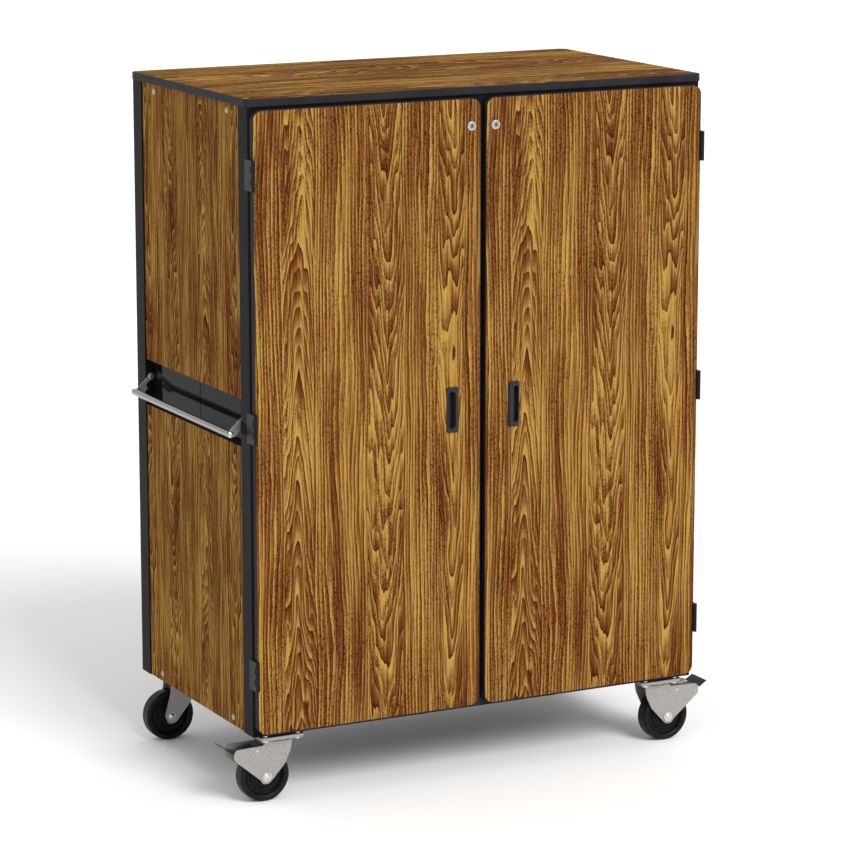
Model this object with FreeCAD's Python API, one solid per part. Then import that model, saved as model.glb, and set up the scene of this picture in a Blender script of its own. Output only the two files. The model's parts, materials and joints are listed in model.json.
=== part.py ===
"""Rolling two-door storage cabinet with a swing-down push handle on its left side.

Frame: millimetres, +Z up, front of the cabinet towards -Y, handle on the -X side.
Origin: on the floor, at the middle of the whole cart's footprint.
Every piece is written to parts/NODE.step in its place at rest.
"""

import FreeCAD
import Part
import math
import os

V = FreeCAD.Vector

# ---- driving dimensions -------------------------------------------------------------------
# Body, without the top slab
body_width = 1204.0
body_depth = 680.0
body_bottom = 173.0
body_height = 1496.0
board = 19.0

# Top slab with its moulded edge band
slab_overhang = 6.0
slab_corner = 18.0
band = 3.0
band_round = 2.6

# Corner posts and side panels
post_thick = 22.5
post_width = 54.0
post_wall = 3.0
post_round = 4.0
panel_recess = 3.5
back_inset = 4.0
back_thick = 12.0

# Front frame
rail_height = 40.0
rail_thick = 18.0
stile_half = 19.0
partition_half = board / 2

# Shelves, three in each bay
shelf_heights = (540.0, 1010.0, 1340.0)
shelf_front_gap = 40.0
shelf_side_gap = 3.5
shelf_back_gap = 2.0
shelf_pin_r = 2.5
shelf_pin_in = 8.0
shelf_pin_out = 12.0
shelf_pin_inset = 80.0

# Handle recess in the left side
recess_low = 866.5
recess_high = 980.5
liner_thick = 1.5
liner_lap = 11.5
liner_seam = 3.0

# Doors
door_gap = 1.5
door_thick = 16.0
door_side_inset = 3.5
door_centre_gap = 13.2
door_low = 8.0
door_high = 6.0
door_corner = 25.0
door_band = 2.0

# Hinges, three on each door
hinge_height = 72.0
hinge_pitch = 593.0
hinge_count = 3
knuckle_count = 5
barrel_r = 5.0
barrel_ahead = 6.0
hinge_pin_r = 2.5
hinge_running = 0.05
knuckle_gap = 0.3
frame_leaf = 2.8
frame_leaf_lap = 14.0
door_leaf = 2.5
leaf_clear = 1.0

# Cam locks
lock_x = 32.1
lock_drop = 72.0
lock_flange_r = 11.8
lock_flange = 3.0
lock_barrel_r = 9.5
plug_r = 6.0
plug_running = 0.05
cam_thick = 2.5
cam_reach = 21.0
cam_half = 7.0
cam_clear = 0.6
key_slot = (2.6, 8.6, 4.0)

# Finger pulls
pull_x = 83.2
pull_width = 29.6
pull_height = 110.0
pull_proud = 10.0
pull_lip = 3.5
pull_corner = 4.5
slot_r = 8.5
slot_height = 91.0
slot_aside = 3.0
cup_wall = 2.0
cup_depth = 13.5

# Side screws
screw_head_r = 8.0
screw_head = 3.0
screw_shank_r = 2.5
screw_shank = 15.0
screw_y = 215.5
screw_inset = 19.0

# Push handle
handle_pivot_z = 937.0
handle_pivot_in = 12.5
handle_reach = 55.5
handle_drop_deg = 41.8
tube_r = 8.0
tube_wall = 1.5
tube_half = 291.0
arm_inner = 279.5
end_washer = (7.2, 1.4)
end_head = (5.6, 5.2)
end_shank = 20.0
end_round = 2.2
arm_thick = 3.0
arm_eye_r = 9.0
arm_neck = 5.0
arm_pad = 12.0
arm_pad_length = 30.0
pivot_r = 4.0
pivot_running = 0.05
pivot_shoulder_r = 7.0
pivot_head = 3.5

# Casters
caster_x = 523.0
caster_y = 286.0
wheel_r = 63.5
wheel_half = 18.8
wheel_shoulder = 5.0
trail = 33.0
plate_size = (114.0, 102.0)
plate_thick = 8.0
plate_corner = 10.0
plate_gap = 6.0
bolt_pitch = (84.0, 76.0)
bolt_r = 4.0
bolt_head = 5.5
bolt_head_r = 7.5
bolt_grip = 15.0
spacer_r = 8.0
kingpin_r = 7.5
kingpin_running = 0.05
kingpin_head_r = 11.0
crown_low = 147.0
sheet = 3.0
race_r = 40.0
race_high = 3.5
race_gap = 0.8
race_lip = 4.0
cheek_inner = 24.0
cheek_bend_x = 28.0
cheek_bend_deg = 2.5
axle_r = 6.0
axle_running = 0.05
axle_head_r = 8.0
axle_head = 4.0
washer_r = 11.5
washer = 1.2
hub_clear = 0.6

# Brake pedals on the front casters
pedal_pivot = (58.0, 131.0)
pedal_pin_r = 3.0
pedal_eye_r = 6.0
pedal_sheet = 2.5
pedal_half = 20.0
pedal_lip_half = 34.0
shoe_half = 14.0
shoe_x = (78.0, 96.0)
shoe_clear = 6.0

# ---- planes that follow from them ---------------------------------------------------------
barrel_stack = door_gap + door_thick + barrel_ahead + barrel_r
body_y = barrel_stack / 2
half_w = body_width / 2
y_front = body_y - body_depth / 2
y_back = body_y + body_depth / 2
body_top = body_bottom + body_height
inner_x = half_w - post_thick
panel_x = half_w - panel_recess
post_y = body_depth / 2 - post_width
y_rail = y_front + rail_thick
y_back_panel = y_back - back_inset - back_thick
z_floor_board = body_bottom + board
z_rail = body_top - rail_height
y_door_back = y_front - door_gap
y_door_face = y_door_back - door_thick
door_x_out = half_w - door_side_inset
door_x_in = door_centre_gap / 2
door_z0 = body_bottom + door_low
door_z1 = body_top - door_high
middle_z = body_bottom + body_height / 2
barrel_x = half_w - 2.0
barrel_y = y_door_face - barrel_ahead
plate_top = body_bottom - plate_gap
plate_bottom = plate_top - plate_thick
LEFT = -1
RIGHT = 1


# ---- helpers ------------------------------------------------------------------------------
def box(x0, x1, y0, y1, z0, z1):
    """A box between two corners."""
    return Part.makeBox(x1 - x0, y1 - y0, z1 - z0, V(x0, y0, z0))


def cylinder(radius, start, end):
    """A round bar from start to end."""
    axis = end - start
    return Part.makeCylinder(radius, axis.Length, start, axis)


def fillet_upright(shape, radius, keep=lambda x, y: True):
    """Rounds the shape's upright edges for which keep(x, y) is true."""
    edges = []
    for edge in shape.Edges:
        a = edge.Vertexes[0].Point
        b = edge.Vertexes[-1].Point
        upright = abs(a.x - b.x) < 1e-6 and abs(a.y - b.y) < 1e-6
        if upright and keep(a.x, a.y):
            edges.append(edge)
    return shape.makeFillet(radius, edges)


def rounded_slab(x0, x1, y0, y1, z0, z1, radius):
    """A board with its four upright edges rounded."""
    return fillet_upright(box(x0, x1, y0, y1, z0, z1), radius)


def rounded_door(x0, x1, y0, y1, z0, z1, radius):
    """A board that stands up, with its four corners rounded as seen from the front."""
    board_shape = box(x0, x1, y0, y1, z0, z1)
    edges = []
    for edge in board_shape.Edges:
        a = edge.Vertexes[0].Point
        b = edge.Vertexes[-1].Point
        if abs(a.x - b.x) < 1e-6 and abs(a.z - b.z) < 1e-6:
            edges.append(edge)
    return board_shape.makeFillet(radius, edges)


def stadium(x, z, radius, height, y0, y1):
    """An upright slot shape with round ends, from y0 to y1."""
    straight = height / 2 - radius
    middle = box(x - radius, x + radius, y0, y1, z - straight, z + straight)
    low = cylinder(radius, V(x, y0, z - straight), V(x, y1, z - straight))
    high = cylinder(radius, V(x, y0, z + straight), V(x, y1, z + straight))
    return middle.fuse([low, high]).removeSplitter()


def prism(points, y0, y1):
    """A closed outline of (x, z) points, drawn out from y0 to y1."""
    corners = [V(x, y0, z) for x, z in points]
    wire = Part.makePolygon(corners + [corners[0]])
    return Part.Face(wire).extrude(V(0, y1 - y0, 0))


def hexagon(radius, x, y, z0, z1):
    """A hexagonal bar between two heights, with its corners at the radius."""
    corners = []
    for i in range(6):
        angle = math.radians(60 * i)
        corners.append(V(x + radius * math.cos(angle), y + radius * math.sin(angle), z0))
    wire = Part.makePolygon(corners + [corners[0]])
    return Part.Face(wire).extrude(V(0, 0, z1 - z0))


def dome(radius, height, centre, direction):
    """A low round head: the cap of a ball that is cut by its seat."""
    ball_r = (radius ** 2 + height ** 2) / (2 * height)
    ball_centre = centre - direction * (ball_r - height)
    ball = Part.makeSphere(ball_r, ball_centre)
    seat = Part.makeCylinder(radius * 1.01, height * 2, centre, direction)
    return ball.common(seat)


def mirrored(shape):
    """The same piece on the other side of the cart."""
    return shape.mirror(V(0, 0, 0), V(1, 0, 0))


def on_side(shape, side):
    """A piece drawn for the left, put on the side that is asked for."""
    return shape if side == LEFT else mirrored(shape)


def group(shapes):
    """Separate solids that share one node."""
    return Part.makeCompound(shapes)


# ---- cabinet ------------------------------------------------------------------------------
def top_panel():
    edge = slab_overhang - band
    return rounded_slab(
        -half_w - edge, half_w + edge, y_front - edge, y_back - band,
        body_top, body_top + board, slab_corner - band,
    )


def top_edge_band():
    """The moulding round the slab, with its two outer edges softened."""
    outer = rounded_slab(
        -half_w - slab_overhang, half_w + slab_overhang, y_front - slab_overhang, y_back,
        body_top, body_top + board, slab_corner,
    )
    rims = []
    for edge in outer.Edges:
        z_values = [vertex.Point.z for vertex in edge.Vertexes]
        if max(z_values) - min(z_values) < 1e-6:
            rims.append(edge)
    outer = outer.makeFillet(band_round, rims)
    return outer.cut(top_panel())


def corner_post(side, y_outer):
    """A box section at a corner; its outer corner is rounded and its ends are open."""
    inward = 1 if y_outer < body_y else -1
    y_inner = y_outer + inward * post_width
    y0, y1 = sorted((y_outer, y_inner))
    post = box(-half_w, -inner_x, y0, y1, body_bottom, body_top)
    post = fillet_upright(
        post, post_round, lambda x, y: abs(x + half_w) < 1e-6 and abs(y - y_outer) < 1e-6
    )
    hollow = box(
        -half_w + post_wall, -inner_x - post_wall, y0 + post_wall, y1 - post_wall,
        body_bottom, body_top,
    )
    return on_side(post.cut(hollow), side)


def side_board(z0, z1):
    """A side panel's board between two heights, on the left."""
    return box(-panel_x, -inner_x, body_y - post_y, body_y + post_y, z0, z1)


def screw_places():
    """(y, z) of the four side screws."""
    heights = (body_bottom + screw_inset, body_top - screw_inset)
    return [(body_y + s * screw_y, z) for z in heights for s in (-1, 1)]


def side_screw(y, z):
    """One domed screw in the left side."""
    seat = V(-panel_x, y, z)
    shank = cylinder(screw_shank_r, seat, seat + V(screw_shank, 0, 0))
    return dome(screw_head_r, screw_head, seat, V(-1, 0, 0)).fuse(shank)


def drill_side(panel):
    """Takes the screw holes and the shelf pin holes out of a left side panel."""
    tools = []
    for y, z in screw_places():
        tools.append(cylinder(screw_shank_r, V(-panel_x, y, z), V(-panel_x + screw_shank, y, z)))
    for z in shelf_heights:
        for y in shelf_pin_places():
            tools.append(shelf_pin(-inner_x, 1, y, z))
    return panel.cut(tools)


def recess_liners():
    """Two glossy sheets behind the recess, with a seam between them."""
    sheets = []
    for s in (-1, 1):
        y0, y1 = sorted((body_y + s * liner_seam / 2, body_y + s * post_y))
        sheets.append(
            box(-inner_x, -inner_x + liner_thick, y0, y1,
                recess_low - liner_lap, recess_high + liner_lap)
        )
    return group(sheets)


def caster_places():
    """(side, y) of the four casters: front pair, then rear pair."""
    return [(side, body_y + s * caster_y) for s in (-1, 1) for side in (LEFT, RIGHT)]


def bolt_places():
    """(x, y) of every caster bolt."""
    places = []
    for side, y in caster_places():
        for sx in (-1, 1):
            for sy in (-1, 1):
                places.append(
                    (side * caster_x + sx * bolt_pitch[0] / 2, y + sy * bolt_pitch[1] / 2)
                )
    return places


def bottom_panel():
    deck = box(-inner_x, inner_x, y_front, y_back - back_inset, body_bottom, z_floor_board)
    holes = []
    for x, y in bolt_places():
        holes.append(cylinder(bolt_r, V(x, y, body_bottom), V(x, y, body_bottom + bolt_grip)))
    return deck.cut(holes)


def back_panel():
    return box(-inner_x, inner_x, y_back_panel, y_back - back_inset, z_floor_board, body_top)


def front_top_rail():
    return box(-inner_x, inner_x, y_front, y_rail, z_rail, body_top)


def centre_stile():
    return box(-stile_half, stile_half, y_front, y_rail, z_floor_board, z_rail)


def centre_partition():
    wall = box(
        -partition_half, partition_half, y_rail, y_back_panel, z_floor_board, body_top
    )
    pins = []
    for z in shelf_heights:
        for y in shelf_pin_places():
            pins.append(shelf_pin(-partition_half, -1, y, z))
            pins.append(shelf_pin(partition_half, 1, y, z))
    return wall.cut(pins)


def shelf_y():
    """Front and back of a shelf."""
    return y_front + shelf_front_gap, y_back_panel - shelf_back_gap


def shelf_pin_places():
    y0, y1 = shelf_y()
    return y0 + shelf_pin_inset, y1 - shelf_pin_inset


def shelf_pin(x_wall, outward, y, z):
    """A peg in a wall at x_wall; outward is the way into the bay."""
    z_axis = z - shelf_pin_r
    return cylinder(
        shelf_pin_r, V(x_wall - outward * shelf_pin_in, y, z_axis),
        V(x_wall + outward * shelf_pin_out, y, z_axis),
    )


def shelves(side):
    y0, y1 = shelf_y()
    x0 = -inner_x + shelf_side_gap
    x1 = -partition_half - shelf_side_gap
    boards = [box(x0, x1, y0, y1, z, z + board) for z in shelf_heights]
    return on_side(group(boards), side)


def shelf_pins():
    pins = []
    for z in shelf_heights:
        for y in shelf_pin_places():
            pins.append(shelf_pin(-inner_x, 1, y, z))
            pins.append(shelf_pin(-partition_half, -1, y, z))
            pins.append(shelf_pin(partition_half, 1, y, z))
            pins.append(shelf_pin(inner_x, -1, y, z))
    return group(pins)


# ---- doors --------------------------------------------------------------------------------
def door_panel():
    """The left door's board, inside its edge band, with its lock and pull cut-outs."""
    panel = rounded_door(
        -door_x_out + door_band, -door_x_in - door_band, y_door_face, y_door_back,
        door_z0 + door_band, door_z1 - door_band, door_corner - door_band,
    )
    z = body_top - lock_drop
    lock_hole = cylinder(lock_barrel_r, V(-lock_x, y_door_face, z), V(-lock_x, y_door_back, z))
    pull_hole = stadium(
        -pull_x - slot_aside, middle_z, slot_r + cup_wall, slot_height + 2 * cup_wall,
        y_door_face, y_door_face + cup_depth,
    )
    return panel.cut([lock_hole, pull_hole])


def door_edge():
    """The band glued round the left door's four edges."""
    outer = rounded_door(
        -door_x_out, -door_x_in, y_door_face, y_door_back, door_z0, door_z1, door_corner
    )
    inner = rounded_door(
        -door_x_out + door_band, -door_x_in - door_band, y_door_face, y_door_back,
        door_z0 + door_band, door_z1 - door_band, door_corner - door_band,
    )
    return outer.cut(inner)


def hinge_heights():
    middle = (hinge_count - 1) / 2
    return [middle_z + (i - middle) * hinge_pitch for i in range(hinge_count)]


def knuckle(index, z_mid, bore):
    """One ring of a hinge barrel; its ends stand back by half the knuckle gap."""
    step = hinge_height / knuckle_count
    z0 = z_mid - hinge_height / 2 + index * step + knuckle_gap / 2
    z1 = z0 + step - knuckle_gap
    ring = cylinder(barrel_r, V(-barrel_x, barrel_y, z0), V(-barrel_x, barrel_y, z1))
    hole = cylinder(bore, V(-barrel_x, barrel_y, z0), V(-barrel_x, barrel_y, z1))
    return ring, hole, z0, z1


def hinge_leaf(z_mid, x0, x1, y_end, first, bore):
    """A leaf with every second knuckle from first; it is notched for the other leaf's knuckles."""
    z0 = z_mid - hinge_height / 2
    z1 = z_mid + hinge_height / 2
    leaf = box(x0, x1, barrel_y, y_end, z0, z1)
    own = []
    holes = []
    for index in range(knuckle_count):
        ring, hole, k0, k1 = knuckle(index, z_mid, bore)
        if index % 2 == first:
            own.append(ring)
            holes.append(hole)
        else:
            notch_y = barrel_y + barrel_r + leaf_clear
            notch = box(
                x0 - barrel_r, x1 + barrel_r, barrel_y - barrel_r, notch_y,
                k0 - knuckle_gap, k1 + knuckle_gap,
            )
            leaf = leaf.cut(notch)
    return leaf.fuse(own).removeSplitter().cut(holes)


def hinge_frame_leaf(z_mid):
    return hinge_leaf(
        z_mid, -half_w - frame_leaf, -half_w, y_front + frame_leaf_lap, 0, hinge_pin_r
    )


def hinge_door_leaf(z_mid):
    return hinge_leaf(
        z_mid, -door_x_out - door_leaf, -door_x_out, y_door_back, 1,
        hinge_pin_r + hinge_running,
    )


def hinge_pin(z_mid):
    return cylinder(
        hinge_pin_r, V(-barrel_x, barrel_y, z_mid - hinge_height / 2),
        V(-barrel_x, barrel_y, z_mid + hinge_height / 2),
    )


def pull():
    """A moulded finger pull: a hood that slopes away from the doors' meeting line."""
    half = pull_width / 2
    outline = [
        (-half, 0), (-half, pull_lip), (-half + 2, pull_lip + 1.2), (half - 13, pull_proud),
        (half - 4, pull_proud), (half - 1, pull_proud - 2.5), (half, pull_proud - 6), (half, 0),
    ]
    z0 = middle_z - pull_height / 2
    corners = [V(-pull_x + u, y_door_face - d, z0) for u, d in outline]
    wire = Part.makePolygon(corners + [corners[0]])
    hood = Part.Face(wire).extrude(V(0, 0, pull_height))
    wedge_d = pull_proud - pull_lip
    trims = []
    for z_end, inward in ((z0, 1), (z0 + pull_height, -1)):
        ramp = [
            V(-pull_x - half, y_door_face - pull_lip, z_end),
            V(-pull_x - half, y_door_face - pull_proud - 1, z_end),
            V(-pull_x - half, y_door_face - pull_proud - 1, z_end + inward * wedge_d),
        ]
        trims.append(Part.Face(Part.makePolygon(ramp + [ramp[0]])).extrude(V(pull_width, 0, 0)))
    frame = rounded_door(
        -pull_x - half, -pull_x + half, y_door_face - pull_proud - 1, y_door_face + 1,
        z0, z0 + pull_height, pull_corner,
    )
    hood = hood.cut(trims).common(frame)
    x_slot = -pull_x - slot_aside
    cup = stadium(
        x_slot, middle_z, slot_r + cup_wall, slot_height + 2 * cup_wall,
        y_door_face, y_door_face + cup_depth,
    )
    opening = stadium(
        x_slot, middle_z, slot_r, slot_height, y_door_face - pull_proud - 1,
        y_door_face + cup_depth - cup_wall,
    )
    return hood.fuse(cup).cut(opening).removeSplitter()


def lock_z():
    return body_top - lock_drop


def lock_body():
    """A round bezel on the door's face and a barrel through the door."""
    z = lock_z()
    flange = cylinder(
        lock_flange_r, V(-lock_x, y_door_face - lock_flange, z), V(-lock_x, y_door_face, z)
    )
    rim = [e for e in flange.Edges if e.Curve.TypeId == "Part::GeomCircle"
           and abs(e.CenterOfMass.y - (y_door_face - lock_flange)) < 1e-6]
    flange = flange.makeChamfer(1.5, rim)
    barrel = cylinder(
        lock_barrel_r, V(-lock_x, y_door_face, z), V(-lock_x, y_rail - cam_clear, z)
    )
    bore = cylinder(
        plug_r + plug_running, V(-lock_x, y_door_face - lock_flange, z), V(-lock_x, y_rail, z)
    )
    return flange.fuse(barrel).cut(bore).removeSplitter()


def lock_plug():
    """The turning plug, with its key slot upright at rest."""
    z = lock_z()
    y0 = y_door_face - lock_flange + 0.6
    plug = cylinder(plug_r, V(-lock_x, y0, z), V(-lock_x, y_rail + cam_clear, z))
    wide, tall, deep = key_slot
    slot = box(
        -lock_x - wide / 2, -lock_x + wide / 2, y0, y0 + deep, z - tall / 2, z + tall / 2
    )
    return plug.cut(slot)


def lock_cam():
    """The latch behind the door: it hangs down when open and points at the stile when locked."""
    z = lock_z()
    y0 = y_rail + cam_clear
    y1 = y0 + cam_thick
    arm = box(-lock_x - cam_half, -lock_x + cam_half, y0, y1, z - cam_reach, z)
    eye = cylinder(cam_half + 1, V(-lock_x, y0, z), V(-lock_x, y1, z))
    nut = cylinder(plug_r - 1, V(-lock_x, y1, z), V(-lock_x, y1 + 3, z))
    return arm.fuse([eye, nut]).removeSplitter()


# ---- push handle --------------------------------------------------------------------------
def handle_points():
    """Pivot and tube centre as (x, z)."""
    angle = math.radians(handle_drop_deg)
    pivot = (-half_w + handle_pivot_in, handle_pivot_z)
    tube = (
        pivot[0] - handle_reach * math.cos(angle),
        pivot[1] - handle_reach * math.sin(angle),
    )
    return pivot, tube


def handle_tube():
    _, (x, z) = handle_points()
    start = V(x, body_y - tube_half, z)
    end = V(x, body_y + tube_half, z)
    outer = cylinder(tube_r, start, end)
    outer = outer.makeFillet(1.2, [e for e in outer.Edges if len(e.Vertexes) == 1])
    bore_start = start - V(0, 1, 0)
    bore_end = end + V(0, 1, 0)
    return outer.cut(cylinder(tube_r - tube_wall, bore_start, bore_end))


def handle_end_bolts():
    """A domed bolt and washer in each end of the tube; the shank fills the tube's bore."""
    _, (x, z) = handle_points()
    bolts = []
    for end in (-1, 1):
        out = V(0, end, 0)
        seat = V(x, body_y + end * tube_half, z)
        washer_disc = cylinder(end_washer[0], seat, seat + out * end_washer[1])
        head_seat = seat + out * end_washer[1]
        head = cylinder(end_head[0], head_seat, head_seat + out * end_head[1])
        top_y = (head_seat + out * end_head[1]).y
        head = head.makeFillet(end_round, [
            e for e in head.Edges
            if len(e.Vertexes) == 1 and abs(e.CenterOfMass.y - top_y) < 1e-6
        ])
        plug = cylinder(tube_r - tube_wall, seat - out * end_shank, seat)
        bolts.append(plug.fuse([washer_disc, head]).removeSplitter())
    return group(bolts)


def handle_arm(end):
    """A stamped arm: a round eye, a narrow neck and a wide pad that is welded to the tube.
    end is -1 for the front arm and 1 for the rear one."""
    (px, pz), (tx, tz) = handle_points()
    reach = handle_reach
    y0, y1 = sorted((body_y + end * arm_inner, body_y + end * (arm_inner + arm_thick)))
    pad_start = reach - tube_r - arm_pad_length * 0.8
    outline = [
        (0, arm_neck), (reach, arm_neck), (reach, -arm_pad), (reach - 6, -arm_pad - 4),
        (pad_start + 4, -arm_pad - 4), (pad_start, -arm_neck), (0, -arm_neck),
    ]
    corners = [V(px - u, y0, pz + w) for u, w in outline]
    plate = Part.Face(Part.makePolygon(corners + [corners[0]])).extrude(V(0, y1 - y0, 0))
    eye = cylinder(arm_eye_r, V(px, y0, pz), V(px, y1, pz))
    lug = plate.fuse(eye).removeSplitter()
    lug.rotate(V(px, 0, pz), V(0, 1, 0), -handle_drop_deg)
    bore = cylinder(pivot_r + pivot_running, V(px, y0, pz), V(px, y1, pz))
    tube = cylinder(tube_r, V(tx, y0, tz), V(tx, y1, tz))
    return lug.cut([bore, tube])


def handle_pivots():
    """Shouldered pins that stand on the posts' inner faces and carry the arms."""
    (px, pz), _ = handle_points()
    pins = []
    for end in (-1, 1):
        y_post = body_y + end * post_y
        y_shoulder = body_y + end * (arm_inner + arm_thick + 0.3)
        y_head = body_y + end * (arm_inner - 0.3)
        y_tip = y_head - end * pivot_head
        shank = cylinder(pivot_r, V(px, y_post, pz), V(px, y_head, pz))
        shoulder = cylinder(pivot_shoulder_r, V(px, y_post, pz), V(px, y_shoulder, pz))
        head = cylinder(pivot_shoulder_r, V(px, y_head, pz), V(px, y_tip, pz))
        head = head.makeFillet(1.2, [
            e for e in head.Edges
            if len(e.Vertexes) == 1 and abs(e.CenterOfMass.y - y_tip) < 1e-6
        ])
        pins.append(shank.fuse([shoulder, head]).removeSplitter())
    return group(pins)


# ---- casters: drawn with the swivel axis at x = y = 0 and the wheel trailing towards +x ----
def placed(shape, side, y):
    """Puts a caster piece at its corner; the wheels trail outwards on both sides."""
    piece = shape.copy()
    piece.translate(V(caster_x, y, 0))
    return piece if side == RIGHT else mirrored(piece)


def caster_plate():
    """The mounting plate with the upper half of the swivel race under it."""
    px, py = plate_size
    plate = rounded_slab(-px / 2, px / 2, -py / 2, py / 2, plate_bottom, plate_top, plate_corner)
    race_low = crown_low + sheet + race_high + race_gap
    cup = cylinder(race_r + race_lip, V(0, 0, race_low), V(0, 0, plate_bottom))
    cup = cup.makeChamfer(3.0, [
        e for e in cup.Edges
        if len(e.Vertexes) == 1 and abs(e.CenterOfMass.z - race_low) < 1e-6
    ])
    tools = []
    for sx in (-1, 1):
        for sy in (-1, 1):
            x = sx * bolt_pitch[0] / 2
            y = sy * bolt_pitch[1] / 2
            tools.append(cylinder(bolt_r, V(x, y, plate_bottom), V(x, y, plate_top)))
    tools.append(cylinder(kingpin_r, V(0, 0, race_low), V(0, 0, plate_bottom)))
    return plate.fuse(cup).removeSplitter().cut(tools)


def caster_bolts():
    """Hex bolts up through the plates, each with a spacer ring above its plate."""
    pieces = []
    for x, y in bolt_places():
        head = hexagon(bolt_head_r, x, y, plate_bottom - bolt_head, plate_bottom)
        shank = cylinder(bolt_r, V(x, y, plate_bottom), V(x, y, body_bottom + bolt_grip))
        pieces.append(head.fuse(shank).removeSplitter())
        ring = cylinder(spacer_r, V(x, y, plate_top), V(x, y, body_bottom))
        pieces.append(ring.cut(cylinder(bolt_r, V(x, y, plate_top), V(x, y, body_bottom))))
    return group(pieces)


def kingpin():
    """The swivel pin, riveted into the plate, with its head under the fork's crown."""
    head_top = crown_low - 0.4
    head_low = head_top - 5.0
    shank = cylinder(kingpin_r, V(0, 0, head_low), V(0, 0, plate_bottom))
    head = cylinder(kingpin_head_r, V(0, 0, head_low), V(0, 0, head_top))
    head = head.makeChamfer(2.0, [
        e for e in head.Edges
        if len(e.Vertexes) == 1 and abs(e.CenterOfMass.z - head_low) < 1e-6
    ])
    return shank.fuse(head).removeSplitter()


def rounded_outline(points, radii, y0, y1):
    """A prism whose corners are rounded by the radii given, one for each point."""
    solid = prism(points, y0, y1)
    for (x, z), radius in zip(points, radii):
        if not radius:
            continue
        corner = []
        for edge in solid.Edges:
            a = edge.Vertexes[0].Point
            b = edge.Vertexes[-1].Point
            along_y = abs(a.x - b.x) < 1e-6 and abs(a.z - b.z) < 1e-6
            if along_y and abs(a.x - x) < 1e-4 and abs(a.z - z) < 1e-4:
                corner.append(edge)
        solid = solid.makeFillet(radius, corner)
    return solid


# (x, z) corners of one fork cheek, with the radius that rounds each
braked_cheek = (
    ((-34, 150), 0), ((-30, 124), 12), ((-15, 91), 25), ((20, 53), 8), ((29, 46), 6),
    ((43, 47), 6), ((51, 58), 10), ((119, 116), 9), ((119, 141), 12), ((44, 142), 4),
    ((32, 150), 2),
)
plain_cheek = (
    ((-27, 150), 0), ((-27, 112), 10), ((-15, 91), 14), ((22, 47), 12), ((42, 43), 12),
    ((52, 66), 10), ((35, 128), 20), ((33, 150), 0),
)


def cheek(outline, y_inner):
    points = [point for point, _ in outline]
    radii = [radius for _, radius in outline]
    flat = rounded_outline(points, radii, y_inner, y_inner + sheet)
    far = max(x for x, _ in points) + 1
    if far < cheek_bend_x + wheel_r:
        return flat
    cut_box = box(cheek_bend_x, far, y_inner, y_inner + sheet, 0, plate_bottom)
    wing = flat.common(cut_box)
    wing.rotate(V(cheek_bend_x, y_inner, 0), V(0, 0, 1), cheek_bend_deg)
    return flat.cut(cut_box).fuse(wing).removeSplitter()


def fork(outline, pedal_holes):
    """A pressed fork: a crown with the lower race on it, and a cheek on each side."""
    x_low = min(x for (x, z), _ in outline if z > crown_low)
    x_high = cheek_bend_x
    outer = cheek_inner + sheet
    crown = box(x_low, x_high, -outer, outer, crown_low, crown_low + sheet)
    race_low = V(0, 0, crown_low + sheet / 2)
    race = cylinder(race_r, race_low, V(0, 0, crown_low + sheet + race_high))
    race = race.makeChamfer(2.0, [
        e for e in race.Edges
        if len(e.Vertexes) == 1 and e.CenterOfMass.z > crown_low + sheet
    ])
    near = cheek(outline, cheek_inner)
    away = near.mirror(V(0, 0, 0), V(0, 1, 0))
    body = crown.fuse([race, near, away]).removeSplitter()
    tools = [
        cylinder(kingpin_r + kingpin_running, V(0, 0, crown_low - 1), V(0, 0, plate_bottom)),
        cylinder(axle_r, V(trail, -2 * outer, wheel_r), V(trail, 2 * outer, wheel_r)),
    ]
    if pedal_holes:
        x, z = pedal_pivot
        tools.append(cylinder(pedal_pin_r, V(x, -2 * outer, z), V(x, 2 * outer, z)))
    return body.cut(tools)


def fork_pins(pedal_pin):
    """The axle with its two domed heads and washers, and the pedal's pin where there is one.
    On a braked fork the cheeks lean out, so the washers sit a little further out."""
    lean = math.tan(math.radians(cheek_bend_deg))
    outer = cheek_inner + sheet
    if pedal_pin:
        outer += lean * (trail + washer_r - cheek_bend_x)
    pieces = []
    axle = cylinder(axle_r, V(trail, -outer - washer, wheel_r), V(trail, outer + washer, wheel_r))
    for s in (-1, 1):
        seat = V(trail, s * outer, wheel_r)
        out = V(0, s, 0)
        disc = cylinder(washer_r, seat, seat + out * washer)
        axle = axle.fuse([disc, dome(axle_head_r, axle_head, seat + out * washer, out)])
    pieces.append(axle.removeSplitter())
    if pedal_pin:
        x, z = pedal_pivot
        reach = cheek_inner + sheet + lean * (x - cheek_bend_x)
        pieces.append(cylinder(pedal_pin_r, V(x, -reach, z), V(x, reach, z)))
    return group(pieces)


def wheel():
    """A moulded wheel: a crowned tread, ringed faces and a hub that fills the fork."""
    hub = cheek_inner - hub_clear
    bore = axle_r + axle_running
    shoulder = wheel_r - wheel_shoulder
    profile = [
        (bore, hub), (15, hub), (18, hub - 2), (19, 11), (30, 9.5), (31, 13), (36, 13),
        (37, 9), (45, 8), (47.5, 15), (52, wheel_half),
        (shoulder, wheel_half), (wheel_r - 1.2, wheel_half - 2.4),
        (wheel_r - 0.4, wheel_half - wheel_shoulder), (wheel_r, wheel_half / 2),
    ]
    outline = profile + [(r, -w) for r, w in reversed(profile)]
    corners = [V(r, w, 0) for r, w in outline]
    face = Part.Face(Part.makePolygon(corners + [corners[0]]))
    solid = face.revolve(V(0, 0, 0), V(0, 1, 0), 360)
    solid.translate(V(trail, 0, wheel_r))
    return solid


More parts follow.
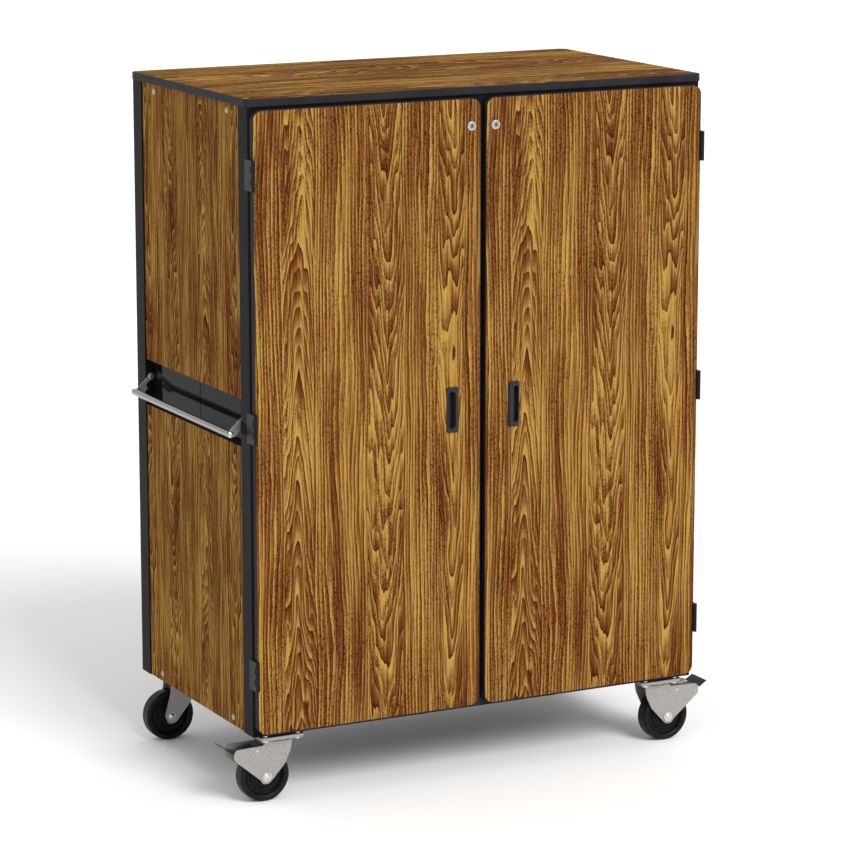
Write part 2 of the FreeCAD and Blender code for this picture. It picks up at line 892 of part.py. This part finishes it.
def pedal():
    """A bent sheet lever with an eye round its pin, a brake shoe and a wide outer lip."""
    px, pz = pedal_pivot
    eye = cylinder(pedal_eye_r, V(px, -pedal_half, pz), V(px, pedal_half, pz))
    under = [(px, pz + 3), (100, 127), (121, 132)]
    strip = under + [(x, z + pedal_sheet) for x, z in reversed(under)]
    arm = prism(strip, -pedal_half, pedal_half)
    lip_under = [(121, 132), (141, 144.5)]
    lip_strip = lip_under + [(x - 0.8, z + pedal_sheet) for x, z in reversed(lip_under)]
    lip = prism(lip_strip, -pedal_lip_half, pedal_lip_half)
    shoe = box(shoe_x[0], shoe_x[1], -shoe_half, shoe_half, 96, 130)
    clear = cylinder(
        wheel_r + shoe_clear, V(trail, -wheel_r, wheel_r), V(trail, wheel_r, wheel_r)
    )
    lever = arm.fuse([eye, lip, shoe.cut(clear)]).removeSplitter()
    bore = cylinder(pedal_pin_r + pivot_running, V(px, -wheel_r, pz), V(px, wheel_r, pz))
    return lever.cut(bore)


# ---- the whole cart -----------------------------------------------------------------------
def all_parts():
    parts = {}
    parts["top_panel"] = top_panel()
    parts["top_edge_band"] = top_edge_band()
    parts["bottom_panel"] = bottom_panel()
    parts["back_panel"] = back_panel()
    parts["centre_partition"] = centre_partition()
    parts["centre_stile"] = centre_stile()
    parts["front_top_rail"] = front_top_rail()
    for side, word in ((LEFT, "left"), (RIGHT, "right")):
        parts[f"corner_post_front_{word}"] = corner_post(side, y_front)
        parts[f"corner_post_rear_{word}"] = corner_post(side, y_back)
        parts[f"shelves_{word}_bay"] = shelves(side)
    parts["side_panel_left_lower"] = drill_side(side_board(body_bottom, recess_low))
    parts["side_panel_left_upper"] = drill_side(side_board(recess_high, body_top))
    parts["side_panel_right"] = mirrored(drill_side(side_board(body_bottom, body_top)))
    parts["recess_liners"] = recess_liners()
    left_screws = [side_screw(y, z) for y, z in screw_places()]
    parts["side_screws"] = group(left_screws + [mirrored(s) for s in left_screws])
    parts["shelf_pins"] = shelf_pins()

    frame_leaves = [hinge_frame_leaf(z) for z in hinge_heights()]
    door_leaves = [hinge_door_leaf(z) for z in hinge_heights()]
    pins = [hinge_pin(z) for z in hinge_heights()]
    parts["hinge_frame_leaves"] = group(frame_leaves + [mirrored(s) for s in frame_leaves])
    parts["hinge_pins"] = group(pins + [mirrored(s) for s in pins])
    for side, word in ((LEFT, "left"), (RIGHT, "right")):
        parts[f"door_panel_{word}"] = on_side(door_panel(), side)
        parts[f"door_edge_{word}"] = on_side(door_edge(), side)
        parts[f"door_hinge_leaves_{word}"] = on_side(group(door_leaves), side)
        parts[f"door_pull_{word}"] = on_side(pull(), side)
        parts[f"lock_body_{word}"] = on_side(lock_body(), side)
        parts[f"lock_plug_{word}"] = on_side(lock_plug(), side)
        parts[f"lock_cam_{word}"] = on_side(lock_cam(), side)

    parts["handle_tube"] = handle_tube()
    parts["handle_end_bolts"] = handle_end_bolts()
    parts["handle_arm_front"] = handle_arm(-1)
    parts["handle_arm_rear"] = handle_arm(1)
    parts["handle_pivots"] = handle_pivots()

    parts["caster_bolts"] = caster_bolts()
    parts["caster_kingpins"] = group([placed(kingpin(), side, y) for side, y in caster_places()])
    for side, y in caster_places():
        braked = y < body_y
        place = ("front_" if braked else "rear_") + ("left" if side == LEFT else "right")
        outline = braked_cheek if braked else plain_cheek
        parts[f"caster_plate_{place}"] = placed(caster_plate(), side, y)
        parts[f"caster_fork_{place}"] = placed(fork(outline, braked), side, y)
        parts[f"caster_axle_{place}"] = placed(fork_pins(braked), side, y)
        parts[f"wheel_{place}"] = placed(wheel(), side, y)
        if braked:
            parts[f"brake_pedal_{place}"] = placed(pedal(), side, y)
    return parts


os.makedirs("parts", exist_ok=True)
for name, shape in all_parts().items():
    shape.exportStep(os.path.join("parts", name + ".step"))
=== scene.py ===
"""Looks for the rolling two-door storage cabinet: oak laminate, charcoal trim, zinc casters.

Metres, +Z up, doors towards -Y, push handle on the -X side.
"""

import json
import math

import bmesh
import bpy
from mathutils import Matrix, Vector


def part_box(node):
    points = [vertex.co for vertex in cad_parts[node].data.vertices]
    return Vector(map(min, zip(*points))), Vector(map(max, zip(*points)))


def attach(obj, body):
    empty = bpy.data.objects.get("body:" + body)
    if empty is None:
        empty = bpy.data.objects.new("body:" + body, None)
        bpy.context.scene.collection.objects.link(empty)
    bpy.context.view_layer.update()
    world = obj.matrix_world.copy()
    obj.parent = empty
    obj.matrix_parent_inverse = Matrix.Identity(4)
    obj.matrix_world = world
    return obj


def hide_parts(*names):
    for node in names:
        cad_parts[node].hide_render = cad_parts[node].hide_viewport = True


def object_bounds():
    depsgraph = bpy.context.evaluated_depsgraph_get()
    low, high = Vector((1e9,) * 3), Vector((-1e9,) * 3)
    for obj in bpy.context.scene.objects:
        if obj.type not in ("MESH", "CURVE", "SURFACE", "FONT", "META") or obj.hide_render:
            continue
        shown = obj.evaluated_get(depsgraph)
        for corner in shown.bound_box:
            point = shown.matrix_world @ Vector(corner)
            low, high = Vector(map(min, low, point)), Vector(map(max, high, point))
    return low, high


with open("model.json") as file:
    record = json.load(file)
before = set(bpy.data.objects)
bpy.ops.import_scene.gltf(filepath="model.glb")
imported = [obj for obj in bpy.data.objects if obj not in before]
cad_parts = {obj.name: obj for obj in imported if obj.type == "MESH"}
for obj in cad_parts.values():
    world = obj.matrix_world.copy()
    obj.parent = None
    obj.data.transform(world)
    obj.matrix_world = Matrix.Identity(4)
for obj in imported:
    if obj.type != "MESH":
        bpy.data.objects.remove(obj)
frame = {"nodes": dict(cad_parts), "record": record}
cad_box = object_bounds()
nodes = frame["nodes"]

# ---- named values -------------------------------------------------------------------------
MM = 0.001
FLOOR_LEVEL = cad_box[0].z
DOOR_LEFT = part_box("door_edge_left")
DOOR_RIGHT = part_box("door_edge_right")
DOOR_PITCH = DOOR_RIGHT[0].x - DOOR_LEFT[0].x

# The photograph's view: turned to the right, tilted down, lens and sensor in millimetres
CAMERA_PLACE = Vector((-3.951, -7.735, 2.622))
CAMERA_YAW = math.radians(27.18)
CAMERA_PITCH = math.radians(11.77)
CAMERA_LENS = 151.3
CAMERA_SENSOR = 36.0
CAMERA_REACH = 700.0        # sees past the floor's end

FLOOR_SIZE = 300.0          # so wide that its end shows only from low down
FLOOR_TONES = ((0.955, 0.955, 0.955), (0.97, 0.97, 0.97))
FLOOR_MOTTLE = 0.4
SKY_COLOUR = (1.0, 1.0, 1.0)
SKY_LOW = 0.84              # brightness at eye level
SKY_HIGH = 0.78             # and overhead
SKY_BLEND = (0.1, 0.9)      # the heights between which it changes, of 1 straight up
KEY_TOWARDS = (0.12, -0.77, 0.64)
KEY_POWER = 2.25
KEY_SPREAD = 28.0           # degrees

NOISE_LOW, NOISE_HIGH = 0.3, 0.7    # where most of a noise texture's values lie


def srgb(code):
    """A linear colour from a hexadecimal display colour."""
    channels = [int(code[i:i + 2], 16) / 255 for i in (0, 2, 4)]
    return tuple([((c + 0.055) / 1.055) ** 2.4 if c > 0.04045 else c / 12.92 for c in channels])


# ---- node helpers -------------------------------------------------------------------------
class Graph:
    """A short way to build a node tree."""

    def __init__(self, tree):
        self.tree = tree

    def add(self, kind, inputs=None, **settings):
        node = self.tree.nodes.new(kind)
        for key, value in settings.items():
            setattr(node, key, value)
        for key, value in (inputs or {}).items():
            self.feed(node.inputs[key], value)
        return node

    def feed(self, socket, value):
        if isinstance(value, bpy.types.NodeSocket):
            self.tree.links.new(value, socket)
        elif socket.type == "RGBA":
            socket.default_value = (*value[:3], 1.0)
        else:
            socket.default_value = value

    def maths(self, operation, a, b=0.0, c=0.0):
        return self.add("ShaderNodeMath", {0: a, 1: b, 2: c}, operation=operation).outputs[0]

    def spread(self, value, low, high, out_low=0.0, out_high=1.0):
        """The value from low..high brought to out_low..out_high and held there."""
        node = self.add("ShaderNodeMapRange", {0: value, 1: low, 2: high, 3: out_low, 4: out_high})
        return node.outputs[0]

    def vary(self, noise, out_low, out_high):
        """A noise brought to out_low..out_high."""
        return self.spread(noise, NOISE_LOW, NOISE_HIGH, out_low, out_high)

    def noise(self, vector, scale=1.0, detail=2.0, rough=0.5):
        node = self.add(
            "ShaderNodeTexNoise",
            {"Vector": vector, "Scale": scale, "Detail": detail, "Roughness": rough},
        )
        return node.outputs[0]

    def stretched(self, vector, scale):
        return self.add("ShaderNodeMapping", {"Vector": vector, "Scale": scale}).outputs[0]

    def mix(self, amount, a, b):
        """Colour a where amount is 0, and b where it is 1."""
        node = self.add("ShaderNodeMix", data_type="RGBA")
        self.feed(node.inputs[0], amount)
        self.feed(node.inputs[6], a)
        self.feed(node.inputs[7], b)
        return node.outputs[2]

    def ramp(self, value, stops):
        node = self.add("ShaderNodeValToRGB", {0: value})
        marks = node.color_ramp.elements
        while len(marks) < len(stops):
            marks.new(0.5)
        for mark, (position, colour) in zip(marks, stops):
            mark.position = position
            mark.color = (*colour[:3], 1.0)
        return node.outputs[0]

    def bump(self, height, strength, distance):
        inputs = {"Height": height, "Strength": strength, "Distance": distance}
        return self.add("ShaderNodeBump", inputs).outputs[0]


def material(name):
    """A new material with its graph, its shader and the piece's own coordinates."""
    mat = bpy.data.materials.new(name)
    mat.use_nodes = True
    graph = Graph(mat.node_tree)
    shader = mat.node_tree.nodes["Principled BSDF"]
    place = graph.add("ShaderNodeTexCoord").outputs["Object"]
    return mat, graph, shader, place


# ---- oak laminate -------------------------------------------------------------------------
OAK_GOLD = srgb("A98440")
OAK_LIGHT = srgb("8F6A33")
OAK_MID = srgb("785026")
OAK_BROWN = srgb("69391A")
OAK_DEEP = srgb("562A12")
OAK_DARK = srgb("2C170A")
OAK_REPEAT = DOOR_PITCH     # the print repeats across at this width
OAK_RING = 0.0094           # growth ring width, across
OAK_TIP = 0.010             # how blunt the tips of the arches are
# Each arched stretch: its middle, half its width, and the step along the grain from one arch
# to the next, which is below zero where the arches open downwards
OAK_ARCHES = ((0.112, 0.040, -0.066), (0.337, 0.043, 0.072), (0.512, 0.034, 0.095))
# Each noise: cycles a metre across and along the grain, seed, detail and roughness
OAK_NOISES = {
    "drift": (4.0, 1.3, 3.1, 2.0, 0.5),
    "jag": (60.0, 12.0, 7.7, 4.0, 0.65),
    "slide": (9.0, 3.0, 6.3, 2.0, 0.5),
    "slow": (9.0, 1.1, 9.9, 1.0, 0.5),
    "lumps": (26.0, 3.0, 4.4, 2.0, 0.5),
    "fade": (15.0, 2.4, 5.2, 2.0, 0.5),
    "streak": (210.0, 3.6, 1.3, 3.0, 0.65),
    "pore": (380.0, 170.0, 2.4, 1.0, 0.5),
    "pore_patch": (14.0, 3.0, 8.8, 2.0, 0.5),
}
OAK_DRIFT = 0.045           # how far the lines wander sideways, in metres
OAK_JAG = 0.008             # how far their fine jags reach, in metres
OAK_SLIDE = 0.16            # how far the arches slide along the grain, in metres
OAK_SLOW = 5.0              # rings gained and lost along a line
OAK_LUMPS = 1.6             # the same between near lines, where they run straight
OAK_ARCH_LUMPS = 6.0        # and where they arch
OAK_TONES = (
    (0.08, OAK_GOLD), (0.27, OAK_LIGHT), (0.42, OAK_MID), (0.56, OAK_BROWN),
    (0.76, OAK_DEEP), (0.98, OAK_DARK),
)
# How each part of the pattern darkens the wood, in the tones' own scale
OAK_RING_BAND = (0.12, 0.70, 0.0, 0.36)     # from and to, along one ring, then the least and most
OAK_RING_OWN = 0.28
OAK_FADE = (-0.11, 0.20)
OAK_STREAK = (-0.24, 0.28)
# The dark line that ends a ring: where it starts and is full, and how strong it is
OAK_LINE = (0.80, 0.92)
OAK_LINE_OWN = (0.1, 0.9, 0.35, 0.9)
# Pores: the noise that counts as one, more of them in darker wood and in patches
OAK_PORE = (0.53, 0.62)
OAK_PORE_TONE = (0.1, 0.4, 0.3, 1.0)
OAK_PORE_PATCH = (0.38, 0.60, 0.35, 1.0)
OAK_PORE_DARK = 0.85
OAK_ROUGH = (0.56, 0.68)
OAK_GLOSS = 0.005
OAK_RELIEF = 0.25
OAK_RELIEF_DEPTH = 0.1 * MM
OAK_STREAK_RELIEF = 0.4


def oak(name, across, along, shift=(0.0, 0.0), size=(1.0, 1.0)):
    """Printed oak, as if cut flat from a log: tall arches where the log's heart is near the
    face, and straight lines between them.
    across and along say which of the piece's axes run across and along the grain; shift and
    size move and enlarge the print across and along it."""
    mat, g, shader, place = material(name)
    axes = g.add("ShaderNodeSeparateXYZ", {0: place}).outputs
    u = g.maths("MULTIPLY_ADD", axes[across], 1.0 / size[0], shift[0])
    w = g.maths("MULTIPLY_ADD", axes[along], 1.0 / size[1], shift[1])
    u = g.maths("WRAP", u, OAK_REPEAT, 0.0)

    def noise(kind):
        u_scale, w_scale, seed, detail, rough = OAK_NOISES[kind]
        point = g.add("ShaderNodeCombineXYZ", {
            0: g.maths("MULTIPLY", u, u_scale), 1: g.maths("MULTIPLY", w, w_scale), 2: seed,
        })
        return g.noise(point.outputs[0], detail=detail, rough=rough)

    # The print is bent sideways and along the grain
    jag = g.maths("MULTIPLY", noise("jag"), OAK_JAG)
    sway = g.maths("MULTIPLY_ADD", noise("drift"), OAK_DRIFT, jag)
    u_bent = g.maths("ADD", u, g.maths("SUBTRACT", sway, (OAK_DRIFT + OAK_JAG) / 2))
    w_bent = g.maths("MULTIPLY_ADD", noise("slide"), OAK_SLIDE, w)
    lumps = noise("lumps")

    # The growth rings are numbered across the face, and along it too where they arch
    straight = g.maths("MULTIPLY", u_bent, 1.0 / OAK_RING)
    rings = g.maths("MULTIPLY_ADD", lumps, OAK_LUMPS, straight)
    for middle, half, step in OAK_ARCHES:
        aside = g.maths("SUBTRACT", u_bent, middle)
        square = g.maths("MULTIPLY_ADD", aside, aside, OAK_TIP ** 2)
        outward = g.maths("MULTIPLY", g.maths("SQRT", square), 1.0 / OAK_RING)
        arch = g.maths("MULTIPLY_ADD", w_bent, -1.0 / step, outward)
        arch = g.maths("MULTIPLY_ADD", lumps, OAK_ARCH_LUMPS, arch)
        here = g.maths("LESS_THAN", g.maths("ABSOLUTE", aside), half)
        rings = g.add("ShaderNodeMix", {0: here, 2: rings, 3: arch}).outputs[0]
    rings = g.maths("MULTIPLY_ADD", noise("slow"), OAK_SLOW, rings)
    ring = g.maths("FRACT", rings)
    number = g.maths("FLOOR", rings)
    own = g.add("ShaderNodeTexWhiteNoise", {"W": number}, noise_dimensions="1D").outputs["Value"]

    # Colour
    streak = noise("streak")
    tone = g.maths("MULTIPLY_ADD", own, OAK_RING_OWN, g.spread(ring, *OAK_RING_BAND))
    tone = g.maths("ADD", tone, g.vary(noise("fade"), *OAK_FADE))
    tone = g.maths("ADD", tone, g.vary(streak, *OAK_STREAK))
    line = g.maths("MULTIPLY", g.spread(ring, *OAK_LINE), g.spread(own, *OAK_LINE_OWN))
    colour = g.mix(line, g.ramp(tone, OAK_TONES), OAK_DARK)
    pore_zone = g.maths("MULTIPLY", g.spread(tone, *OAK_PORE_TONE),
                        g.spread(noise("pore_patch"), *OAK_PORE_PATCH))
    pores = g.maths("MULTIPLY", g.spread(noise("pore"), *OAK_PORE), pore_zone)
    colour = g.mix(g.maths("MULTIPLY", pores, OAK_PORE_DARK), colour, OAK_DARK)

    g.feed(shader.inputs["Base Color"], colour)
    g.feed(shader.inputs["Roughness"], g.vary(streak, *OAK_ROUGH))
    shader.inputs["Specular IOR Level"].default_value = OAK_GLOSS
    relief = g.maths("MULTIPLY_ADD", pores, -1.0, g.maths("MULTIPLY", streak, OAK_STREAK_RELIEF))
    g.feed(shader.inputs["Normal"], g.bump(relief, OAK_RELIEF, OAK_RELIEF_DEPTH))
    return mat


# ---- plastics, paint and metals -----------------------------------------------------------
# The scales of noises are cycles a metre, and the depths of relief are metres
PATCH = (0.35, 0.7)         # the noise that turns a colour into its lighter patches
GRAIN_SCALE = 1400.0
GRAIN_DEPTH = 0.2 * MM
PEEL_SCALE = 700.0
DRAWN_SCALE = 900.0         # paint on drawn metal, across its lines
DRAWN_ALONG = 2.0           # and along them
PEEL_DEPTH = 0.1 * MM
LINE_SCALE = 1500.0         # fine lines in metal, across them
LINE_ALONG = 25.0           # and along them
LINE_DEPTH = 0.05 * MM
SPANGLE_SCALE = 520.0
SKIN_SCALE = 900.0
SKIN_DEPTH = 0.2 * MM
RUBBER_GLOSS = 0.16


def lightened(colour, factor, lift):
    return tuple(channel * factor + lift for channel in colour)


def moulded(name, colour, rough, relief=0.15, shine=0.25):
    """Plastic with a fine moulded grain and faint lighter patches."""
    mat, g, shader, place = material(name)
    grain = g.noise(place, GRAIN_SCALE, 2.0)
    cloud = g.noise(place, 9.0, 3.0)
    light = lightened(colour, 1.35, 0.004)
    g.feed(shader.inputs["Base Color"], g.mix(g.spread(cloud, *PATCH), colour, light))
    g.feed(shader.inputs["Roughness"], g.vary(cloud, rough - 0.05, rough + 0.07))
    g.feed(shader.inputs["Normal"], g.bump(grain, relief, GRAIN_DEPTH))
    shader.inputs["Specular IOR Level"].default_value = shine
    return mat


def painted(name, colour, rough, along=None, relief=0.12, shine=0.5):
    """Charcoal paint with a slight orange peel; along is the axis that drawn lines follow."""
    mat, g, shader, place = material(name)
    scale = [PEEL_SCALE] * 3
    if along is not None:
        scale = [DRAWN_SCALE] * 3
        scale[along] = DRAWN_ALONG
    peel = g.noise(g.stretched(place, scale), 1.0, 2.0)
    cloud = g.noise(place, 5.0, 2.0)
    light = lightened(colour, 1.3, 0.001)
    g.feed(shader.inputs["Base Color"], g.mix(g.spread(cloud, *PATCH), colour, light))
    g.feed(shader.inputs["Roughness"], g.vary(peel, rough * 0.85, rough * 1.2))
    g.feed(shader.inputs["Normal"], g.bump(peel, relief, PEEL_DEPTH))
    shader.inputs["Specular IOR Level"].default_value = shine
    return mat


def metal(name, colour, rough, brushed=None, spangle=0.12, relief=0.1):
    """Bare or plated metal; brushed is the axis that the fine lines run along, and spangle is
    how much darker its dull spots are."""
    mat, g, shader, place = material(name)
    scale = [LINE_SCALE] * 3
    if brushed is not None:
        scale[brushed] = LINE_ALONG
    lines = g.noise(g.stretched(place, scale), 1.0, 3.0, 0.6)
    grain = g.noise(place, SPANGLE_SCALE, 3.0, 0.75)
    dull = lightened(colour, 1.0 - spangle, 0.0)
    g.feed(shader.inputs["Base Color"], g.mix(g.spread(grain, 0.35, 0.65), dull, colour))
    g.feed(shader.inputs["Roughness"], g.vary(lines, rough - 0.06, rough + 0.1))
    g.feed(shader.inputs["Normal"], g.bump(lines, relief, LINE_DEPTH))
    shader.inputs["Metallic"].default_value = 1.0
    return mat


def rubber(name, colour, rough):
    """Tyre rubber with a fine matt skin and a little dust in it."""
    mat, g, shader, place = material(name)
    skin = g.noise(place, SKIN_SCALE, 3.0, 0.6)
    dust = g.noise(place, 30.0, 4.0, 0.6)
    grey = lightened(colour, 1.6, 0.003)
    g.feed(shader.inputs["Base Color"], g.mix(g.spread(dust, 0.42, 0.75), colour, grey))
    g.feed(shader.inputs["Roughness"], g.vary(dust, rough - 0.06, rough + 0.1))
    g.feed(shader.inputs["Normal"], g.bump(skin, 0.2, SKIN_DEPTH))
    shader.inputs["Specular IOR Level"].default_value = RUBBER_GLOSS
    return mat


CHARCOAL = srgb("131315")
looks = {
    "door_left": oak("oak_door_left", 0, 2, (-DOOR_LEFT[0].x, -DOOR_LEFT[0].z)),
    "door_right": oak("oak_door_right", 0, 2, (-DOOR_RIGHT[0].x, -DOOR_RIGHT[0].z)),
    "side": oak("oak_side", 1, 2, (3.2, 1.7), (0.85, 0.6)),
    "top": oak("oak_top", 1, 0, (6.1, 4.4), (2.0, 1.0)),
    "inside_upright": oak("oak_inside_upright", 1, 2, (8.3, 2.2)),
    "inside_flat": oak("oak_inside_flat", 1, 0, (1.9, 6.6)),
    "back": oak("oak_back", 0, 2, (11.4, 3.0)),
    "edge_band": moulded("charcoal_edge_band", srgb("222225"), 0.46, shine=0.05),
    "post": painted("charcoal_post", CHARCOAL, 0.05, along=2, relief=0.01, shine=0.02),
    "rail": painted("charcoal_rail", CHARCOAL, 0.12, along=0, relief=0.02, shine=0.03),
    "liner": painted("charcoal_liner", CHARCOAL, 0.03, relief=0.006, shine=0.038),
    "hinge": painted("charcoal_hinge", srgb("161618"), 0.3, shine=0.1),
    "pull": moulded("charcoal_pull", srgb("28282B"), 0.42, shine=0.12),
    "pedal": painted("black_pedal", srgb("101013"), 0.3, shine=0.3),
    "zinc": metal("satin_zinc", srgb("BDB9B5"), 0.5, spangle=0.45, relief=0.5),
    "zinc_bright": metal("bright_zinc", srgb("DEDAD4"), 0.22),
    "handle_steel": metal("satin_steel", srgb("9C9B98"), 0.22, brushed=1),
    "lock_metal": metal("plated_lock", srgb("C2C0BC"), 0.3),
    "lock_core": metal("plated_lock_core", srgb("8F8D89"), 0.32),
    "wheel": rubber("wheel_rubber", srgb("0A0A0F"), 0.4),
}


# ---- pieces -------------------------------------------------------------------------------
MERGE = 0.002 * MM
FLAT_ANGLE = math.radians(0.5)      # faces nearer to flat than this are joined
SHARP_ANGLE = math.radians(32)      # edges sharper than this are broken
ON_TRIM = 0.9                       # how squarely a face must look a trim's way, of 1


def body_of_node(name):
    for body, members in frame["record"]["behaviour"]["bodies"].items():
        if name in members:
            return body
    raise KeyError(name)


def refined(name, look, edge, segments=2, trim=None, trim_ways=()):
    """A CAD node's shape with its sharp edges broken, as a made piece has them; edge is 0
    where the shape is rounded already. Joining flat faces would fill a ring-shaped one, so a
    ring also has an edge of 0.
    trim is the look of the faces that look one of the trim_ways, such as a banded edge."""
    source = nodes[name]
    mesh = source.data.copy()
    piece = bpy.data.objects.new(name + "_fine", mesh)
    bpy.context.scene.collection.objects.link(piece)
    work = bmesh.new()
    work.from_mesh(mesh)
    bmesh.ops.remove_doubles(work, verts=work.verts, dist=MERGE)
    if edge:
        bmesh.ops.dissolve_limit(
            work, angle_limit=FLAT_ANGLE, verts=work.verts, edges=work.edges
        )
    for face in work.faces:
        face.smooth = True
    work.to_mesh(mesh)
    work.free()
    if edge:
        bevel = piece.modifiers.new("broken_edges", "BEVEL")
        bevel.width = edge
        bevel.segments = segments
        bevel.limit_method = "ANGLE"
        bevel.angle_limit = SHARP_ANGLE
        bevel.use_clamp_overlap = True
    even = piece.modifiers.new("even_shading", "WEIGHTED_NORMAL")
    even.keep_sharp = True
    mesh.materials.clear()
    mesh.materials.append(looks[look])
    if trim is not None:
        mesh.materials.append(looks[trim])
        for face in mesh.polygons:
            on_trim = any(face.normal.dot(Vector(way)) > ON_TRIM for way in trim_ways)
            face.material_index = 1 if on_trim else 0
    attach(piece, body_of_node(name))
    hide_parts(name)
    return piece


# Each node's look and how wide its edges are broken, in millimetres
FINISH = {
    "top_panel": ("top", 0.1),
    "top_edge_band": ("edge_band", 0.0),
    "back_panel": ("back", 0.5),
    "front_top_rail": ("rail", 0.6),
    "centre_stile": ("post", 0.6),
    "side_panel_right": ("side", 0.3),
    "recess_liners": ("liner", 0.2),
    "door_panel_left": ("door_left", 0.25),
    "door_panel_right": ("door_right", 0.25),
    "hinge_frame_leaves": ("hinge", 0.5),
    "hinge_pins": ("hinge", 0.4),
    "handle_tube": ("handle_steel", 0.3),
    "handle_arm_front": ("zinc", 0.5),
    "handle_arm_rear": ("zinc", 0.5),
    "handle_pivots": ("zinc_bright", 0.4),
    "handle_end_bolts": ("zinc_bright", 0.4),
    "side_screws": ("zinc", 0.3),
    "shelf_pins": ("zinc_bright", 0.4),
    "caster_bolts": ("zinc_bright", 0.6),
    "caster_kingpins": ("zinc_bright", 0.6),
}
# The same for the nodes that come once a side, and once a caster, with the edges' segments
SIDE_FINISH = {
    "corner_post_front": ("post", 0.7, 2),
    "corner_post_rear": ("post", 0.7, 2),
    "door_edge": ("edge_band", 1.4, 3),
    "door_hinge_leaves": ("hinge", 0.5, 2),
    "door_pull": ("pull", 0.8, 3),
    "lock_body": ("lock_metal", 0.3, 2),
    "lock_plug": ("lock_core", 0.3, 2),
    "lock_cam": ("zinc_bright", 0.4, 2),
    "brake_pedal_front": ("pedal", 0.7, 2),
}
CASTER_FINISH = {
    "caster_plate": ("zinc", 0.8, 2),
    "caster_fork": ("zinc", 0.9, 3),
    "caster_axle": ("zinc_bright", 0.5, 2),
    "wheel": ("wheel", 1.0, 3),
}
# Boards with a banded edge: the face's look, the band's look, and the ways that bands look
FRONT = (0.0, -1.0, 0.0)
UP = (0.0, 0.0, 1.0)
DOWN = (0.0, 0.0, -1.0)
BOARD_EDGE = 0.4
BOARDS = {
    "bottom_panel": ("inside_flat", "edge_band", (FRONT, DOWN)),
    "centre_partition": ("inside_upright", "edge_band", (FRONT,)),
    "shelves_left_bay": ("inside_flat", "edge_band", (FRONT,)),
    "shelves_right_bay": ("inside_flat", "edge_band", (FRONT,)),
    "side_panel_left_lower": ("side", "edge_band", (UP,)),
    "side_panel_left_upper": ("side", "edge_band", (DOWN,)),
}
for name, (look, edge) in FINISH.items():
    refined(name, look, edge * MM)
for name, (look, trim, ways) in BOARDS.items():
    refined(name, look, BOARD_EDGE * MM, trim=trim, trim_ways=ways)
for side in ("left", "right"):
    for name, (look, edge, segments) in SIDE_FINISH.items():
        refined(f"{name}_{side}", look, edge * MM, segments)
    for end in ("front", "rear"):
        for name, (look, edge, segments) in CASTER_FINISH.items():
            refined(f"{name}_{end}_{side}", look, edge * MM, segments)


# ---- studio -------------------------------------------------------------------------------
def floor():
    bpy.ops.mesh.primitive_plane_add(size=FLOOR_SIZE, location=(0.0, 0.0, FLOOR_LEVEL))
    plane = bpy.context.object
    plane.name = "studio_floor"
    mat, g, shader, place = material("studio_floor")
    tone = g.noise(place, FLOOR_MOTTLE, 2.0)
    g.feed(shader.inputs["Base Color"], g.mix(tone, *FLOOR_TONES))
    shader.inputs["Roughness"].default_value = 0.85
    shader.inputs["Specular IOR Level"].default_value = 0.1
    plane.data.materials.append(mat)


def sun(name, towards, power, spread):
    """An even light from one direction; spread is how wide it looks, which softens shadows."""
    data = bpy.data.lights.new(name, "SUN")
    data.energy = power
    data.angle = math.radians(spread)
    lamp = bpy.data.objects.new(name, data)
    bpy.context.scene.collection.objects.link(lamp)
    lamp.rotation_euler = Vector(towards).to_track_quat("Z", "Y").to_euler()


def studio():
    """White surroundings, a little brighter at eye level than overhead, and a broad key light
    from the front."""
    world = bpy.data.worlds.new("studio")
    bpy.context.scene.world = world
    world.use_nodes = True
    g = Graph(world.node_tree)
    way = g.add("ShaderNodeTexCoord").outputs["Generated"]
    height = g.add("ShaderNodeSeparateXYZ", {0: way}).outputs[2]
    glow = g.spread(height, *SKY_BLEND, SKY_LOW, SKY_HIGH)
    sky = world.node_tree.nodes["Background"]
    g.feed(sky.inputs[0], SKY_COLOUR)
    g.feed(sky.inputs[1], glow)
    sun("key", KEY_TOWARDS, KEY_POWER, KEY_SPREAD)
    bpy.context.scene.view_settings.view_transform = "Standard"
    bpy.context.scene.view_settings.look = "None"


def camera():
    data = bpy.data.cameras.new("camera")
    data.lens = CAMERA_LENS
    data.sensor_width = CAMERA_SENSOR
    data.clip_end = CAMERA_REACH
    eye = bpy.data.objects.new("camera", data)
    bpy.context.scene.collection.objects.link(eye)
    eye.location = CAMERA_PLACE
    eye.rotation_euler = (math.pi / 2 - CAMERA_PITCH, 0.0, -CAMERA_YAW)
    bpy.context.scene.camera = eye


floor()
studio()
camera()
